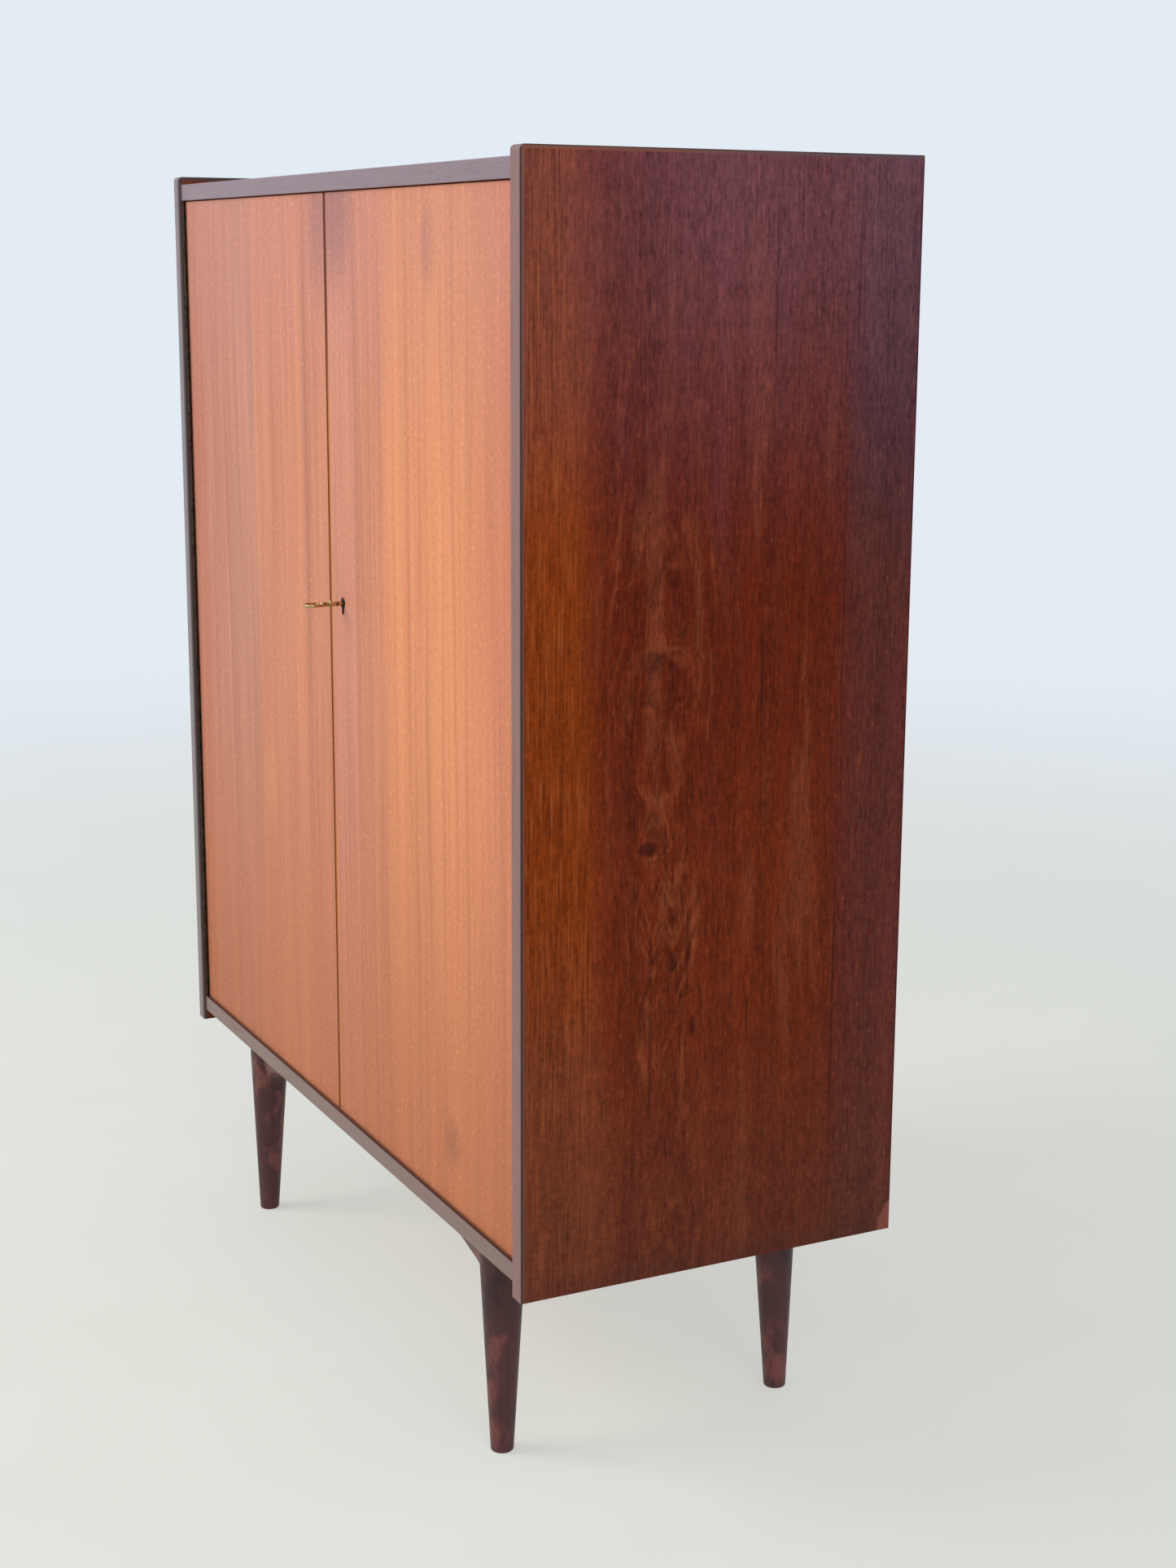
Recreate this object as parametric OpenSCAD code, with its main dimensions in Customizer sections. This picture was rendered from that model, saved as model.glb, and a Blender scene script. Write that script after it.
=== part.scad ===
// Two-door wardrobe on a low frame with four turned legs.
// +Z is up and +X is to the right of someone facing the doors, which face -Y.
// The origin is on the floor below the middle of the outline, key included.

/* [Carcass] */
// Width over both side panels
cab_w = 1022; // [960:2:1100]
// Depth of the side panels
cab_d = 430; // [400:5:470]
// Height of the side panels
side_h = 1100; // [1060:5:1180]
// Thickness of the side panels
side_t = 22; // [20:0.5:25]
// Thickness of the top panel, the bottom panel and the partition
panel_t = 19.5; // [18:0.5:22]
// Drop from the top of the sides to the top panel
top_drop = 9.5; // [4:0.5:14]
// Rise from the bottom of the sides to the bottom panel
bottom_rise = 13; // [8:0.5:18]
// Setback of the top and bottom panels behind the front of the sides
panel_setback = 3; // [1:0.5:4]
// Thickness of the solid lippings on the panel edges
lip_t = 4; // [3:0.5:4]
// Radius of the upper front corner of each side
corner_r = 6; // [3:0.5:9]
// Radius along the front edges of the sides
arris_r = 2.5; // [1:0.5:3]
// Thickness of the plywood back
back_t = 6; // [4:0.5:8]

/* [Legs and rails] */
// Height of the bottom panel above the floor
leg_h = 245; // [200:5:280]
// Diameter of a leg at the floor
foot_d = 24.4; // [20:0.2:28]
// Diameter of a leg where it meets the bottom panel
leg_top_d = 51.6; // [46:0.2:56]
// Distance from the outside of the cabinet to the middle of a foot
foot_inset = 142; // [110:2:170]
// Distance from the front of the sides to the middle of a front foot
foot_front = 44.5; // [40:0.5:55]
// Distance from the back of the sides to the middle of a rear foot
foot_rear = 49; // [40:0.5:60]
// How far a foot stands outside the top of its leg, across and fore-and-aft
splay = [5.5, 3.5]; // [0:0.5:10]
// Thickness of the rails between the legs
rail_t = 30; // [24:1:34]
// Depth of the rails at mid span
rail_h = 28.5; // [24:0.5:32]
// Depth of the sweep where a rail runs into its leg
sweep_h = 75; // [72:1:80]

/* [Doors and hinges] */
// Thickness of the doors
door_t = 18; // [16:0.5:20]
// Setback of the door faces behind the front of the sides
door_setback = 7.5; // [7:0.5:10]
// Gap above and below the doors
door_gap = 1; // [1:0.5:3]
// Gap between the two doors
meeting_gap = 2.6; // [2:0.2:4]
// Diameter of the piano hinge's knuckles
knuckle_d = 3.4; // [3.2:0.1:3.8]
// Diameter of the hinge pin
hinge_pin_d = 1.6; // [1.4:0.1:1.8]
// Number of knuckles in each hinge, odd
knuckle_count = 45; // [35:2:55]
// Thickness of the hinge leaves
leaf_t = 0.7; // [0.5:0.1:0.7]
// Width of a hinge leaf behind its knuckles
leaf_w = 15; // [11:0.5:16]

/* [Lock and key] */
// Height of the keyhole above the floor
lock_z = 863; // [820:1:900]
// Distance from the middle of the cabinet to the keyhole
lock_x = 38; // [36:0.5:42]
// How far the key stands out of the door
key_reach = 45.7; // [42:0.1:50]
// Length and width of the key's bow
bow = [25, 19]; // [19:1:25]
// Travel of the lock bolt
bolt_throw = 10; // [8:0.5:10]

/* [Interior] */
// Thickness of the shelves
shelf_t = 16; // [14:1:18]
// Diameter of a shelf pin
shelf_pin_d = 5; // [5:0.5:6]
// Spacing of the shelf pin holes
pin_pitch = 32; // [25:1:40]
// Diameter of the garment rail
garment_rail_d = 19; // [16:1:22]
// Space above the hat shelf
hat_space = 215; // [180:5:240]

/* [Hidden] */
$fn = 48;

// Room cut round a glued or driven piece, and the running fit of a turning one
seat_gap = 0.05;
run_gap = 0.05;
// Overrun of a cutting solid past the face that it opens
over = 1;

// Colours
side_colour = [0.36, 0.16, 0.12];
edge_colour = [0.42, 0.30, 0.30];
door_colour = [0.74, 0.42, 0.26];
inside_colour = [0.62, 0.42, 0.26];
leg_colour = [0.27, 0.15, 0.13];
ply_colour = [0.72, 0.56, 0.38];
brass_colour = [0.72, 0.56, 0.28];
steel_colour = [0.62, 0.62, 0.64];

// Planes of the cabinet. The key stands out past the sides, so half of that
// overhang moves the cabinet back and keeps the origin below the middle.
key_overhang = key_reach - door_setback;
front_y = (key_overhang - cab_d) / 2;
back_y = front_y + cab_d;
outer_x = cab_w / 2;
inner_x = outer_x - side_t;
side_z = leg_h - bottom_rise;
side_top = side_z + side_h;
bottom_top = leg_h + panel_t;
top_z = side_top - top_drop;
top_under = top_z - panel_t;
panel_y = front_y + panel_setback;
rebate = 9;
back_face = back_y - back_t;

// Doors: the partition stops them just clear of its lipping
door_y = front_y + door_setback;
door_back = door_y + door_t;
door_z = bottom_top + door_gap;
door_h = top_under - door_gap - door_z;
stop_gap = 0.5;
partition_y = door_back + stop_gap;
shelf_y = partition_y + 6;

// Hinges: the knuckles stand in front of the doors, in the corner of the side,
// and both leaves run back from them through the narrow gap at the side
knuckle_r = knuckle_d / 2;
pin_in = knuckle_r + 0.2;
pin_proud = 3.3;
side_gap = 2 * leaf_t + 0.3;
hinge_x = inner_x - pin_in;
hinge_y = door_y - pin_proud;
door_edge = inner_x - side_gap;
leaf_start = knuckle_r + 0.3;
knuckle_l = door_h / knuckle_count;
knuckle_play = 0.3;

// Legs: the middle of each foot, and of each leg's top
foot_x = outer_x - foot_inset;
foot_front_y = front_y + foot_front;
foot_rear_y = back_y - foot_rear;
front_rail_y = foot_front_y + splay.y;
rear_rail_y = foot_rear_y - splay.y;
leg_top_x = foot_x - splay.x;

// Rails: a long flat arc, then a short one that turns down the leg
long_r = 250;
short_r = 35;
sweep_angle = acos((long_r - short_r - (sweep_h - rail_h - short_r)) / (long_r - short_r));
short_x = leg_top_x + 1.4 - (foot_d + (leg_top_d - foot_d) * (1 - sweep_h / leg_h)) / 2 - short_r;
long_x = short_x - (long_r - short_r) * sin(sweep_angle);
turn_x = long_x + long_r * sin(sweep_angle);

// Shelves of the left bay divide its height evenly
bay_h = top_under - bottom_top;
shelf_count = 3;
shelf_step = (bay_h + shelf_t) / (shelf_count + 1);
shelf_z = [for (i = [1 : shelf_count]) bottom_top + i * shelf_step - shelf_t];
hat_z = top_under - hat_space - shelf_t;
shelf_pin_y = [shelf_y + 45, back_face - 60];
pin_depth = 9;
tongue = [9, 8, 2.5];

// Garment rail: front to back below the hat shelf, in the middle of its bay
bay_low = panel_t / 2;
garment_x = (bay_low + inner_x) / 2;
garment_z = hat_z - 42;
bracket_y = [shelf_y + 22, back_face - 34];
bracket_w = 12;

// Catch of the left door, below the top panel beside the partition
catch_x = -62;
catch_size = [44, 14, 14];
pole = [26, 1.5, 1.6];
pole_z = [4, 9];
keeper = [34, 1.2, 10];
keeper_gap = 0.6;

// Keyhole insert: the radius of its eye, its half width, and its depth below the eye
insert_r = 6.5;
insert_w = 3;
insert_h = 13;
insert_l = 10;

// Lock: the case is a tray on the back of the right door
case_x = 12.5;
case_w = 50;
case_t = 14;
case_wall = 1.5;
case_low = lock_z - 24;
case_high = lock_z + 26;
case_back = door_back + case_t;
ear_h = 12;
shaft_r = 2.5;
bit_r = 8.5;
bit_t = 2.2;
bolt_y = door_back + 5.5;
bolt_t = 4;
bolt_low = lock_z + 3.5;
bolt_h = 14.5;
guide_r = 2;
guide_x = case_x + case_w - 18;
guide_z = lock_z + 13.5;
strike_t = 1.2;
bolt_room = 1;

// Helpers ------------------------------------------------------------------

// A block between two opposite corners
module block(low, high) translate(low) cube(high - low);

// A drawing in Y and Z, drawn out along +X
module along_x(length) rotate([90, 0, 90]) linear_extrude(length) children();

// A drawing in X and Z, drawn out along +Y
module along_y(length) translate([0, length, 0]) rotate([90, 0, 0]) linear_extrude(length) children();

// A rod along X or Y from a point
module rod_x(r, length) rotate([0, 90, 0]) cylinder(r = r, h = length);
module rod_y(r, length) rotate([-90, 0, 0]) cylinder(r = r, h = length);

// A rectangle with four round corners
module round_rect(size, r) {
    translate([r, 0]) square([size.x - 2 * r, size.y]);
    translate([0, r]) square([size.x, size.y - 2 * r]);
    for (x = [r, size.x - r], y = [r, size.y - r])
        translate([x, y]) circle(r);
}

// The mirror image of a right-hand piece
module left_hand() mirror([1, 0, 0]) children();

// A countersunk screw driven along +Y, with its head's face at the start
module screw(r, length, grow = 0) {
    head_r = 2 * r;
    rotate([-90, 0, 0]) {
        cylinder(r = r + grow, h = length + grow);
        cylinder(r1 = head_r + grow, r2 = r + grow, h = head_r - r);
    }
}

// Carcass -------------------------------------------------------------------

// The whole right side, before its lippings are parted from its core
module side_blank() {
    translate([inner_x, front_y, side_z])
        intersection() {
            along_x(side_t) side_outline();
            linear_extrude(side_h) round_rect([side_t, cab_d + 2 * arris_r], arris_r);
            along_y(cab_d)
                translate([0, -arris_r])
                    round_rect([side_t, side_h + arris_r], arris_r * 0.6);
        }
}

module side_outline() {
    square([cab_d, side_h - corner_r]);
    translate([corner_r, 0]) square([cab_d - corner_r, side_h]);
    translate([corner_r, side_h - corner_r]) circle(corner_r);
}

module side_core() {
    difference() {
        intersection() {
            side_blank();
            block([0, front_y + lip_t, 0], [outer_x + over, back_y, side_top - lip_t]);
        }
        block([0, back_face, bottom_top - rebate],
              [inner_x + rebate, back_y + over, top_under + rebate]);
        dowel_set(seat_gap);
        back_screw_set(seat_gap);
    }
}

// The left bay's side also takes the pins of the three shelves
module left_side_panel()
    color(side_colour)
        left_hand()
            difference() {
                side_core();
                pin_holes(shelf_z, inner_x);
            }

module right_side_panel()
    color(side_colour)
        difference() {
            side_core();
            pin_holes([hat_z], inner_x);
        }

module front_lipping()
    intersection() {
        side_blank();
        block([0, front_y, 0], [outer_x + over, front_y + lip_t, side_top]);
    }

module top_lipping()
    intersection() {
        side_blank();
        block([0, front_y + lip_t, side_top - lip_t], [outer_x + over, back_y, side_top]);
    }

module left_front_lipping() color(edge_colour) left_hand() front_lipping();
module right_front_lipping() color(edge_colour) front_lipping();
module left_top_lipping() color(edge_colour) left_hand() top_lipping();
module right_top_lipping() color(edge_colour) top_lipping();

// A panel between the sides, from its lipping to the back
module cross_panel(z)
    difference() {
        block([-inner_x, panel_y + lip_t, z], [inner_x, back_y, z + panel_t]);
        block([-outer_x, back_face, bottom_top - rebate], [outer_x, back_y + over, top_under + rebate]);
        dowel_set(seat_gap);
        left_hand() dowel_set(seat_gap);
        back_screw_set(seat_gap);
        left_hand() back_screw_set(seat_gap);
    }

module panel_lipping(z)
    translate([-inner_x, panel_y, z])
        intersection() {
            cube([2 * inner_x, lip_t, panel_t]);
            along_x(2 * inner_x) round_rect([lip_t + 2, panel_t], 1);
        }

module top_panel() color(inside_colour) cross_panel(top_under);
module bottom_panel()
    color(inside_colour)
        difference() {
            cross_panel(leg_h);
            rail_screw_set(seat_gap);
        }
module top_panel_lipping() color(edge_colour) panel_lipping(top_under);
module bottom_panel_lipping() color(edge_colour) panel_lipping(leg_h);

module partition_blank()
    translate([-panel_t / 2, partition_y, bottom_top])
        linear_extrude(bay_h)
            round_rect([panel_t, cab_d], 1);

// The partition holds pins on both faces, and the mortise for the lock bolt
module centre_partition()
    color(inside_colour)
        difference() {
            intersection() {
                partition_blank();
                block([-panel_t, partition_y + lip_t, 0], [panel_t, back_face, side_top]);
            }
            left_hand() pin_holes(shelf_z, panel_t / 2 - pin_depth);
            pin_holes([hat_z], panel_t / 2 - pin_depth);
            bolt_mortise();
            strike_blank();
            back_screw_set(seat_gap);
        }

module partition_lipping()
    color(inside_colour)
        intersection() {
            partition_blank();
            block([-panel_t, partition_y, 0], [panel_t, partition_y + lip_t, side_top]);
        }

module back_panel()
    color(ply_colour)
        difference() {
            block([-inner_x - rebate, back_face, bottom_top - rebate],
                  [inner_x + rebate, back_y, top_under + rebate]);
            back_screw_set(seat_gap);
            left_hand() back_screw_set(seat_gap);
        }

// Screws round the right half of the back, and one column into the partition
module back_screw_set(grow) {
    rows = 6;
    row_step = (bay_h - 80) / (rows - 1);
    for (i = [0 : rows - 1], x = [0, inner_x + rebate / 2])
        back_screw(x, bottom_top + 40 + i * row_step, grow);
    for (x = [0.34, 0.68] * inner_x, z = [bottom_top - rebate / 2, top_under + rebate / 2])
        back_screw(x, z, grow);
}

module back_screw(x, z, grow)
    translate([x, back_y, z])
        mirror([0, 1, 0])
            screw(1.6, 22, grow);

module back_panel_screws()
    color(steel_colour) {
        back_screw_set(0);
        intersection() {
            left_hand() back_screw_set(0);
            block([-outer_x, 0, 0], [-2 * panel_t, back_y + over, side_top]);
        }
    }

// Dowels from the right side into the top and bottom panels
module dowel_set(grow) {
    dowel_r = 4;
    for (y = [front_y + 45, (front_y + back_y) / 2, back_y - 45], z = [leg_h, top_under])
        translate([inner_x - 24 - grow, y, z + panel_t / 2])
            rod_x(dowel_r + grow, 36 + 2 * grow);
}

module carcass_dowels()
    color(ply_colour) {
        dowel_set(0);
        left_hand() dowel_set(0);
    }

// Interior ------------------------------------------------------------------

// Three pin holes round each shelf height, in both rows, drilled along +X
module pin_holes(heights, x)
    for (z = heights, step = [-pin_pitch, 0, pin_pitch], y = shelf_pin_y)
        translate([x, y, z + step - tongue.z / 2])
            rod_x(shelf_pin_d / 2, pin_depth + 2 * seat_gap);

module shelf(z)
    color(inside_colour)
        translate([bay_low + 1, shelf_y, z])
            intersection() {
                cube([inner_x - bay_low - 2, back_face - shelf_y - 1, shelf_t]);
                along_x(inner_x) round_rect([cab_d, shelf_t], 1.5);
            }

module upper_shelf() left_hand() shelf(shelf_z[2]);
module middle_shelf() left_hand() shelf(shelf_z[1]);
module lower_shelf() left_hand() shelf(shelf_z[0]);
module hat_shelf() shelf(hat_z);

// A pin in a wall that faces -X, with its tongue under a shelf
module shelf_pin() {
    rod_x(shelf_pin_d / 2 - seat_gap, pin_depth);
    rotate([0, -90, 0]) cylinder(r = 4, h = 1);
    translate([-tongue.x, -tongue.y / 2, -tongue.z / 2]) cube(tongue);
}

module pins_of_bay(heights)
    for (z = heights, y = shelf_pin_y) {
        translate([inner_x, y, z - tongue.z / 2]) shelf_pin();
        translate([bay_low, y, z - tongue.z / 2]) mirror([1, 0, 0]) shelf_pin();
    }

module shelf_pins()
    color(brass_colour) {
        left_hand() pins_of_bay(shelf_z);
        pins_of_bay([hat_z]);
    }

// The garment rail runs front to back below the hat shelf
module garment_rail()
    color(steel_colour)
        translate([garment_x, bracket_y[0] - 10, garment_z])
            difference() {
                rod_y(garment_rail_d / 2, bracket_y[1] - bracket_y[0] + bracket_w + 20);
                translate([0, -over, 0]) rod_y(garment_rail_d / 2 - 1.2, cab_d);
            }

// A plate under the shelf and a strap that rings the rail
module garment_rail_brackets() {
    ring_r = garment_rail_d / 2 + 3;
    color(steel_colour)
        for (y = bracket_y)
            translate([garment_x, y, garment_z])
                difference() {
                    union() {
                        rod_y(ring_r, bracket_w);
                        block([-ring_r * 0.7, 0, 0], [ring_r * 0.7, bracket_w, hat_z - garment_z]);
                        block([-24, 0, hat_z - garment_z - 3], [24, bracket_w, hat_z - garment_z]);
                    }
                    translate([0, -over, 0]) rod_y(garment_rail_d / 2 + seat_gap, bracket_w + 2 * over);
                }
}

// Legs and rails --------------------------------------------------------------

// A leg from a foot at foot_y to its top, which lies inwards by the splay
module leg(foot_y, inwards) {
    axis = [-splay.x, inwards * splay.y, leg_h];
    tilt_x = atan2(-axis.y, axis.z);
    tilt_y = atan2(axis.x, norm([axis.y, axis.z]));
    intersection() {
        translate([foot_x, foot_y, 0])
            rotate([tilt_x, 0, 0])
                rotate([0, tilt_y, 0])
                    rotate_extrude($fn = 64)
                        leg_profile();
        block([foot_x - leg_top_d, foot_y - leg_top_d, 0],
              [foot_x + leg_top_d, foot_y + leg_top_d, leg_h]);
    }
}

// Half of a leg's outline: a straight taper with the edge of the foot eased
module leg_profile() {
    ease = 2;
    taper = (leg_top_d - foot_d) / 2 / leg_h;
    foot_r = foot_d / 2;
    below = 0.4;
    polygon([
        [0, -below], [foot_r - ease, -below], [foot_r - ease * 0.3, ease * 0.3 - below],
        [foot_r + ease * taper, ease - below], [foot_r + (leg_h + 5) * taper, leg_h + 5], [0, leg_h + 5]
    ]);
}

module right_legs() {
    leg(foot_front_y, 1);
    leg(foot_rear_y, -1);
}

module leg_of(foot_y, inwards)
    color(leg_colour)
        difference() {
            leg(foot_y, inwards);
            leg_dowel_set(seat_gap);
        }

module leg_front_right() leg_of(foot_front_y, 1);
module leg_rear_right() leg_of(foot_rear_y, -1);
module leg_front_left() left_hand() leg_of(foot_front_y, 1);
module leg_rear_left() left_hand() leg_of(foot_rear_y, -1);

// The right half of a rail from the front, hung from z = 0
module half_rail_outline()
    difference() {
        translate([0, -sweep_h]) square([leg_top_x, sweep_h]);
        translate([-over, -sweep_h - over]) square([long_x + over, sweep_h - rail_h + over]);
        intersection() {
            translate([long_x, -rail_h - long_r]) circle(long_r, $fn = 180);
            translate([long_x - over, -sweep_h - over]) square([turn_x - long_x + over, sweep_h]);
        }
        translate([short_x, -sweep_h]) circle(short_r);
    }

// The rail's section: full thickness above, narrowing down the leg
module rail_section()
    polygon([
        [-rail_t / 2, 0], [rail_t / 2, 0], [rail_t / 2, -rail_h - 8],
        [rail_t / 5, -sweep_h], [-rail_t / 5, -sweep_h], [-rail_t / 2, -rail_h - 8]
    ]);

module rail(y)
    color(leg_colour)
        difference() {
            translate([0, y, leg_h])
                intersection() {
                    translate([0, -rail_t / 2, 0])
                        along_y(rail_t) {
                            half_rail_outline();
                            mirror([1, 0]) half_rail_outline();
                        }
                    translate([-outer_x, 0, 0]) along_x(2 * outer_x) rail_section();
                }
            right_legs();
            left_hand() right_legs();
            leg_dowel_set(seat_gap);
            left_hand() leg_dowel_set(seat_gap);
            rail_screw_set(seat_gap);
        }

module front_rail() rail(front_rail_y);
module rear_rail() rail(rear_rail_y);

// A dowel from each rail into its right leg
module leg_dowel_set(grow) {
    dowel_l = 48;
    for (y = [front_rail_y, rear_rail_y])
        translate([leg_top_x + 8 - dowel_l - grow, y, leg_h - 15])
            rod_x(5 + grow, dowel_l + 2 * grow);
}

module leg_dowels()
    color(ply_colour) {
        leg_dowel_set(0);
        left_hand() leg_dowel_set(0);
    }

// Screws up through the rails into the bottom panel
module rail_screw_set(grow)
    for (x = [-1, 0, 1] * long_x * 0.85, y = [front_rail_y, rear_rail_y])
        translate([x, y, leg_h - rail_h])
            rotate([90, 0, 0])
                screw(2.5, rail_h + 14, grow);

module rail_screws() color(steel_colour) rail_screw_set(0);

// Doors and hinges ------------------------------------------------------------

module door_blank()
    translate([meeting_gap / 2, door_y, door_z])
        intersection() {
            linear_extrude(door_h) round_rect([door_edge - meeting_gap / 2, door_t], 1);
            along_x(door_edge) round_rect([door_t, door_h], 1);
        }

module left_door() color(door_colour) left_hand() door_blank();

module right_door()
    color(door_colour)
        difference() {
            door_blank();
            translate([lock_x, door_y - over, lock_z])
                along_y(door_t + 2 * over)
                    keyhole(insert_r, insert_w, insert_h);
            lock_screw_set(seat_gap);
        }

// One row of knuckles, every second one from the first
module knuckles(first)
    for (i = [first : 2 : knuckle_count - 1])
        translate([0, 0, i * knuckle_l + knuckle_play / 2])
            cylinder(r = knuckle_r, h = knuckle_l - knuckle_play);

// A leaf whose face is at x from the pin. Its knuckles stand on tabs that
// start at y, so that the other leaf's knuckles turn clear of it
module hinge_leaf(first, x, y)
    difference() {
        union() {
            knuckles(first);
            for (i = [first : 2 : knuckle_count - 1])
                block([x, y, i * knuckle_l + knuckle_play / 2],
                      [x + leaf_t, leaf_start + over, (i + 1) * knuckle_l - knuckle_play / 2]);
            block([x, leaf_start, 0], [x + leaf_t, leaf_start + leaf_w, door_h]);
        }
        translate([0, 0, -over])
            cylinder(r = hinge_pin_d / 2 + run_gap, h = door_h + 2 * over);
    }

module at_hinge() translate([hinge_x, hinge_y, door_z]) children();

module right_hinge_frame_leaf()
    color(brass_colour)
        at_hinge()
            hinge_leaf(0, pin_in - leaf_t, 0);

module right_hinge_door_leaf()
    color(brass_colour)
        at_hinge()
            hinge_leaf(1, pin_in - side_gap, knuckle_r * 0.6);

module right_hinge_pin() color(steel_colour) at_hinge() cylinder(r = hinge_pin_d / 2, h = door_h);
module left_hinge_frame_leaf() left_hand() right_hinge_frame_leaf();
module left_hinge_door_leaf() left_hand() right_hinge_door_leaf();
module left_hinge_pin() left_hand() right_hinge_pin();

// Catch of the left door ---------------------------------------------------------

// A moulded case below the top panel, with two pole plates facing the door
module magnetic_catch() {
    pole_y = door_back + keeper.y + keeper_gap;
    case_z = top_under - catch_size.z;
    color("saddlebrown")
        translate([catch_x, pole_y + pole.y, case_z])
            cube(catch_size);
    color(steel_colour)
        for (z = pole_z)
            translate([catch_x + (catch_size.x - pole.x) / 2, pole_y, case_z + z])
                cube(pole);
}

// The plate on the door that the poles hold
module catch_plate()
    color(steel_colour)
        translate([catch_x + (catch_size.x - keeper.x) / 2, door_back, top_under - 3 - keeper.z])
            cube(keeper);

// Lock and key --------------------------------------------------------------------

// A keyhole: a round eye with a slot of half width w down to a depth
module keyhole(r, w, depth) {
    circle(r);
    translate([-w, -depth + w]) square([2 * w, depth - w]);
    translate([0, -depth + w]) circle(w);
}

module keyhole_insert()
    color("dimgray")
        translate([lock_x, door_y - 0.3, lock_z])
            difference() {
                along_y(insert_l) keyhole(insert_r - seat_gap, insert_w - seat_gap, insert_h - seat_gap);
                translate([0, -over, 0])
                    along_y(insert_l + 2 * over)
                        keyhole(3.6, 1.9, 11.6);
            }

// The tray opens towards the door; two ears take the screws
module lock_case()
    color(brass_colour)
        difference() {
            union() {
                block([case_x, door_back, case_low], [case_x + case_w, case_back, case_high]);
                block([case_x, door_back, case_low - ear_h],
                      [case_x + case_w, door_back + case_wall, case_high + ear_h]);
            }
            difference() {
                block([case_x + case_wall, door_back - over, case_low + case_wall],
                      [case_x + case_w - case_wall, case_back - case_wall, case_high - case_wall]);
                translate([guide_x, bolt_y - 2, guide_z]) rod_y(guide_r, case_t);
            }
            bolt_slot();
            translate([lock_x, door_back, lock_z]) rod_y(shaft_r + run_gap, case_t + over);
            lock_screw_set(seat_gap);
        }

// The slot that the bolt leaves the case through
module bolt_slot() {
    play = 0.2;
    block([0, bolt_y - play, bolt_low - play],
          [case_x + 2 * case_wall, bolt_y + bolt_t + play, bolt_low + bolt_h + play]);
}

module lock_screw_set(grow)
    for (x = [case_x + 8, case_x + case_w - 8], z = [case_low - ear_h / 2, case_high + ear_h / 2])
        translate([x, door_back + case_wall, z])
            mirror([0, 1, 0])
                screw(1.5, 13, grow);

module lock_screws() color(brass_colour) lock_screw_set(0);

// The bolt slides on a stud, and the key's bit works in its talon
module lock_bolt()
    color(steel_colour)
        difference() {
            block([case_x, bolt_y, bolt_low],
                  [guide_x + bolt_throw + 5, bolt_y + bolt_t, bolt_low + bolt_h]);
            translate([lock_x + bolt_throw / 2, bolt_y - over, lock_z])
                along_y(bolt_t + 2 * over)
                    talon();
            translate([guide_x, bolt_y - over, guide_z])
                along_y(bolt_t + 2 * over) {
                    circle(guide_r + 0.3);
                    translate([0, -guide_r - 0.3]) square([bolt_throw, 2 * guide_r + 0.6]);
                    translate([bolt_throw, 0]) circle(guide_r + 0.3);
                }
        }

module talon() {
    half = 5.2;
    translate([-half, 0]) square([2 * half, bit_r - 1]);
    translate([-half + 2.5, 0]) square([2 * half - 5, bit_r + 1.5]);
    for (x = [2.5 - half, half - 2.5])
        translate([x, bit_r - 1]) circle(2.5);
}

// The mortise for the thrown bolt, with its room all round
module bolt_mortise()
    block([panel_t / 2 - 8.5, bolt_y - bolt_room, bolt_low - bolt_room],
          [panel_t / 2 + over, bolt_y + bolt_t + bolt_room, bolt_low + bolt_h + bolt_room]);

module strike_blank()
    block([panel_t / 2 - strike_t, partition_y + lip_t, bolt_low - 12],
          [panel_t / 2, partition_y + lip_t + 16, bolt_low + bolt_h + 12]);

module strike_plate()
    color(brass_colour)
        difference() {
            strike_blank();
            bolt_mortise();
        }

// The key points into the door along +Y, with its bit towards +X
module key() {
    wire_r = 1.7;
    bow_r = bow.y / 2 - wire_r;
    straight = bow.x - bow.y;
    shaft_l = key_reach - bow.x + wire_r;
    collar_y = 15.6;
    tip = door_t + case_t;
    color("darkgoldenrod")
        translate([lock_x, door_y, lock_z]) {
            translate([0, -key_reach + bow.x - bow.y / 2, 0]) bow_arc(bow_r, wire_r, 1);
            translate([0, -key_reach + bow.y / 2, 0]) bow_arc(bow_r, wire_r, -1);
            for (x = [-bow_r, bow_r])
                translate([x, -key_reach + bow.y / 2, 0]) rod_y(wire_r, straight);
            translate([0, -shaft_l, 0]) rod_y(shaft_r, shaft_l + tip);
            translate([0, -collar_y, 0]) collar();
            difference() {
                block([0, door_t + 4.5, -bit_t / 2], [bit_r, door_t + 10.5, bit_t / 2]);
                block([bit_r - 3, door_t + 6.9, -bit_t], [bit_r + over, door_t + 8.1, bit_t]);
            }
        }
}

// Half of the bow's ring, towards +Y or -Y
module bow_arc(r, wire_r, towards)
    mirror([0, towards < 0 ? 1 : 0, 0])
        rotate_extrude(angle = 180)
            translate([r, 0])
                circle(wire_r, $fn = 24);

// A turned bead round the shaft
module collar()
    rotate([-90, 0, 0])
        rotate_extrude()
            difference() {
                union() {
                    translate([0, -1.2]) square([3, 2.4]);
                    translate([3, 0]) circle(1.2, $fn = 24);
                }
                translate([-6, -3]) square([6, 6]);
            }

// Parts -----------------------------------------------------------------------------

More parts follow.
